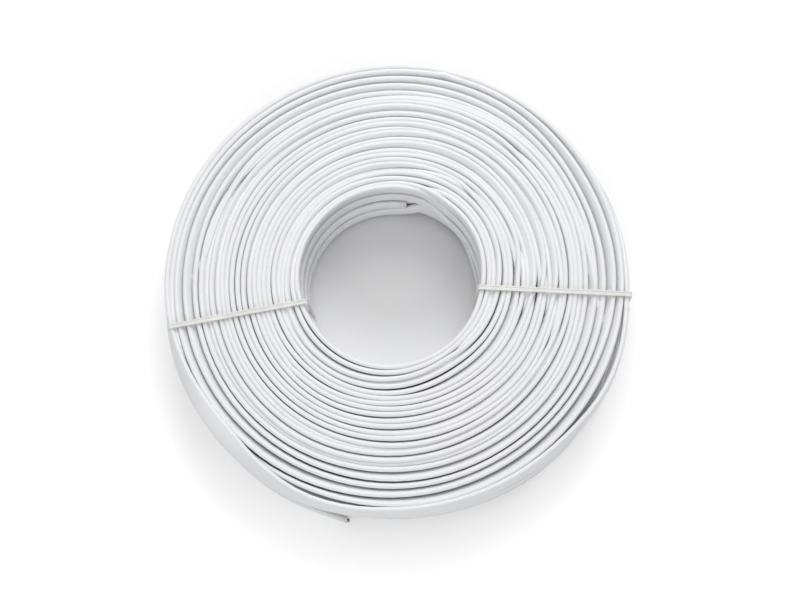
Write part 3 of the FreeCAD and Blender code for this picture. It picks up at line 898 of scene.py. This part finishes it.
class CABLE_COIL_OT_ties(bpy.types.Operator):
    """Pulls two nylon ties round the wound coil."""
    bl_idname = "cable_coil.ties"
    bl_label = "Fit The Ties"

    def execute(self, context):
        """Makes both ties."""
        winding = Winding()
        finish = material("tie_nylon", tie_nylon, settings().finishes)
        for name, (degrees, shift) in TIES.items():
            build = bmesh.new()
            plane = TiePlane(winding, degrees, shift)
            self.carry_strap(build, plane)
            self.mould_head(build, plane)
            bmesh.ops.recalc_face_normals(build, faces=build.faces)
            piece = moulded(name + "_strap", build)
            finish_piece(piece, finish)
            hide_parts(name)
        return {"FINISHED"}

    def carry_strap(self, build, plane):
        """Carries the strap's section, with its two rails, round the coil and out of the head."""
        sizes = settings().tie
        half = sizes.strap_width / 2
        edge = sizes.strap_thickness / 2
        groove = sizes.groove_width / 2
        floor = edge - sizes.groove_depth
        soft = 0.16 * MM
        right = [(half - soft, -edge), (half, -edge + soft), (half, edge - soft),
                 (half - soft, edge), (groove + soft, edge), (groove, edge - soft),
                 (groove, floor)]
        outline = right + [(-across, out) for across, out in reversed(right)]
        curve = route_curve("strap_route", [(point, 0.0) for point in plane.strap_points()],
                            STRAP_STEPS)
        path = points_of(curve)
        bpy.data.objects.remove(curve)
        for index, place in enumerate(path):
            before = path[max(0, index - 1)]
            after = path[min(len(path) - 1, index + 1)]
            outward = plane.sideways.cross((after - before).normalized())
            spots = [place + plane.sideways * across + outward * out for across, out in outline]
            if index == 0:
                cap = build.faces.new([build.verts.new(spot) for spot in spots])
            else:
                made = bmesh.ops.extrude_face_region(build, geom=[cap], use_keep_orig=index == 1)
                cap = next(item for item in made["geom"] if isinstance(item, bmesh.types.BMFace))
                for vert, spot in zip(cap.verts, spots):
                    vert.co = spot

    def mould_head(self, build, plane):
        """A rounded block with a recess where the strap's trimmed end comes out."""
        sizes = settings().tie
        rim, depth, step = 1.0 * MM, 0.9 * MM, 0.01 * MM
        centre = plane.point(plane.wall + sizes.head_thickness / 2,
                             sizes.head_lift + sizes.head_length / 2)
        cube = bmesh.ops.create_cube(build, size=1.0)["verts"]
        scale = Matrix.Diagonal((sizes.head_thickness, sizes.head_width, sizes.head_length, 1))
        placed = Matrix.Translation(centre) @ plane.turn.to_4x4() @ scale
        bmesh.ops.transform(build, verts=cube, matrix=placed)
        faces = {face for vert in cube for face in vert.link_faces}
        front = max(faces, key=lambda face: face.calc_center_median().dot(plane.forward))
        edges = {edge for face in faces for edge in face.edges}
        bmesh.ops.inset_region(build, faces=[front], thickness=rim)
        bmesh.ops.inset_region(build, faces=[front], thickness=step, depth=-depth)
        bmesh.ops.bevel(build, geom=list(edges), offset=0.55 * MM, segments=3, profile=0.5,
                        affect="EDGES", material=-1)


class TiePlane:
    """The upright plane that a tie lies in."""

    def __init__(self, winding, degrees, shift):
        turn = math.radians(degrees)
        self.forward = Vector((math.cos(turn), math.sin(turn), 0))
        self.sideways = Vector((-math.sin(turn), math.cos(turn), 0))
        self.turn = Matrix.Rotation(turn, 3, "Z")
        self.base = self.sideways * shift * MM
        half = winding.thick / 2
        rows = range(winding.top_row)

        def beside(radius):
            return degrees + math.degrees(math.asin(shift / radius))

        outer = [winding.row_turn(winding.layers, row, beside(TIE_WALL))[0] for row in rows]
        inner = [winding.row_turn(1 + (row < winding.tip_row), row, beside(TIE_RIM))[0]
                 for row in rows]
        rim = between(INNER_EDGES[0], beside(TIE_RIM) % 360, True)
        self.wall = (max(outer) + half - STRAP_PULL) * MM
        self.bore_low = (inner[0] - half - STRAP_GAP) * MM
        self.rim = (min(rim, inner[-1] - half) - STRAP_GAP) * MM
        self.top = (winding.top + STRAP_GAP) * MM
        self.under = 0.06 * MM

    def point(self, out, up):
        """A place in the plane, from its distance out and its height."""
        return self.base + self.forward * out + Vector((0, 0, up))

    def strap_points(self):
        """Control points of the strap's middle, three to each bend."""
        sizes = settings().tie
        half = sizes.strap_thickness / 2
        slot = sizes.head_lift + 0.45 * sizes.head_length
        wall, rim, low = self.wall + half, self.rim - half, self.bore_low - half
        top, under = self.top + half, self.under + half
        hidden, proud = 2.2 * MM, 0.1 * MM
        stub = sizes.head_thickness + proud
        corners = [(wall, top), (rim, top), (low, under), (wall, under), (wall, slot)]
        ends = [(wall, slot + hidden), (wall + stub, slot)]
        line = [ends[0]] + corners + [ends[1]]
        spots = [self.point(*line[0])]
        for before, corner, after in zip(line, corners, line[2:]):
            here = self.point(*corner)
            to_before = (self.point(*before) - here).normalized() * STRAP_BEND
            to_after = (self.point(*after) - here).normalized() * STRAP_BEND
            spots += [here + to_before, here, here + to_after]
        spots.append(self.point(*line[-1]))
        return spots


class CABLE_COIL_OT_ends(bpy.types.Operator):
    """Gives the cores and wires at both cut ends their finish."""
    bl_idname = "cable_coil.ends"
    bl_label = "Finish The Cut Ends"

    def execute(self, context):
        """Paints each core in its colour and each wire as copper."""
        finishes = settings().finishes
        for side in ("inner", "outer"):
            for colour in CORE_COLOURS:
                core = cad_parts[f"{side}_end_core_{colour}"]
                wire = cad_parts[f"{side}_end_conductor_{colour}"]
                plastic = material(f"core_{colour}", core_plastic, getattr(finishes, colour))
                core.data.materials.clear()
                core.data.materials.append(plastic)
                wire.data.materials.clear()
                wire.data.materials.append(material("copper_wire", copper_wire))
        return {"FINISHED"}


class CABLE_COIL_OT_stage(bpy.types.Operator):
    """Lays the floor, hangs the lights and sets up the camera."""
    bl_idname = "cable_coil.stage"
    bl_label = "Set The Stage"

    def execute(self, context):
        """Makes the floor, the world, three soft lights and the camera."""
        sizes = settings().stage
        scene = context.scene
        scene.view_settings.view_transform = "Standard"
        self.lay_floor(sizes)
        self.light_world(sizes)
        for side, (place, size) in LIGHTS.items():
            self.hang_light(side + "_soft", place, size, getattr(sizes, side + "_power"))
        lens = bpy.data.cameras.new("camera")
        lens.lens = sizes.lens
        lens.sensor_width = 36.0
        lens.clip_start = 0.01
        lens.clip_end = 20.0
        camera = shown("camera", lens)
        camera.location = CAMERA_PLACE
        look = Vector(CAMERA_AIM) - camera.location
        camera.rotation_euler = look.to_track_quat("-Z", "Y").to_euler()
        scene.camera = camera
        return {"FINISHED"}

    def lay_floor(self, sizes):
        """A pale grey sheet with the coil's soft shadow; a painted glow, seen by the camera and in
        reflections but lighting nothing, brings it up to white away from the coil and lightens the shadow
        there.
        """
        build = bmesh.new()
        bmesh.ops.create_grid(build, x_segments=1, y_segments=1, size=sizes.floor_size / 2)
        floor = moulded("floor", build)
        paint = Paint("floor_paper", Roughness=0.9, Base_Color=(*sizes.paper, 1.0),
                      Emission_Strength=sizes.paper_white)
        shift = (0.0, -GLOW_CENTRE_Y, 0.0)
        where = paint.node("ShaderNodeVectorMath", {"operation": "ADD"}, paint.place(), shift)
        radius = paint.node("ShaderNodeVectorMath", {"operation": "LENGTH"}, where, out="Value")
        # Painted light: the glow grows away from the coil and washes out its shadow on the sheet.
        glow = radius.over(*GLOW) * seen_directly(paint)
        paint.set("Emission Color", paint.blend(glow, (0.0, 0.0, 0.0), (1.0, 1.0, 1.0)))
        floor.data.materials.append(paint.owner)

    def light_world(self, sizes):
        """Even pale light from all round, seen as white by the camera."""
        world = bpy.data.worlds.new("studio")
        world.use_nodes = True
        bpy.context.scene.world = world
        paint = Paint(world, Color=(1.0, 1.0, 1.0, 1.0))
        strength = sizes.world_strength + seen_directly(paint) * (1.0 - sizes.world_strength)
        paint.set("Strength", strength)

    def hang_light(self, name, place, size, power):
        """A square soft light turned to the coil."""
        lamp = bpy.data.lights.new(name, "AREA")
        lamp.size = size
        lamp.energy = power
        light = shown(name, lamp)
        light.location = place
        light.rotation_euler = (-Vector(place)).to_track_quat("-Z", "Y").to_euler()


class CABLE_COIL_PT_panel(bpy.types.Panel):
    """The coil's sizes, colours and steps."""
    bl_idname = "CABLE_COIL_PT_panel"
    bl_label = "Cable Coil"
    bl_space_type = "VIEW_3D"
    bl_region_type = "UI"
    bl_category = "Cable Coil"

    def draw(self, context):
        """Lists every size and colour, then the steps in order."""
        for group in (settings().cable, settings().coil, settings().tie, settings().finishes,
                      settings().stage):
            box = self.layout.box()
            for title in group.bl_rna.properties.keys():
                if title not in {"rna_type", "name"}:
                    box.prop(group, title)
        for step in STEPS:
            self.layout.operator(step.bl_idname)


STEPS = (CABLE_COIL_OT_stage, CABLE_COIL_OT_wind, CABLE_COIL_OT_ties, CABLE_COIL_OT_ends)
GROUPS = (CableSizes, CoilSizes, TieSizes, Finishes, StageSizes, CableCoilSettings)
CLASSES = GROUPS + STEPS + (CABLE_COIL_PT_panel,)


def register():
    """Adds the classes and the scene's settings."""
    for kind in CLASSES:
        bpy.utils.register_class(kind)
    bpy.types.Scene.cable_coil = bpy.props.PointerProperty(type=CableCoilSettings)


def unregister():
    """Takes them away again."""
    del bpy.types.Scene.cable_coil
    for kind in reversed(CLASSES):
        bpy.utils.unregister_class(kind)


def main():
    """Builds everything."""
    register()
    bpy.ops.cable_coil.stage()
    bpy.ops.cable_coil.wind()
    bpy.ops.cable_coil.ties()
    bpy.ops.cable_coil.ends()


if __name__ == "__main__":
    main()
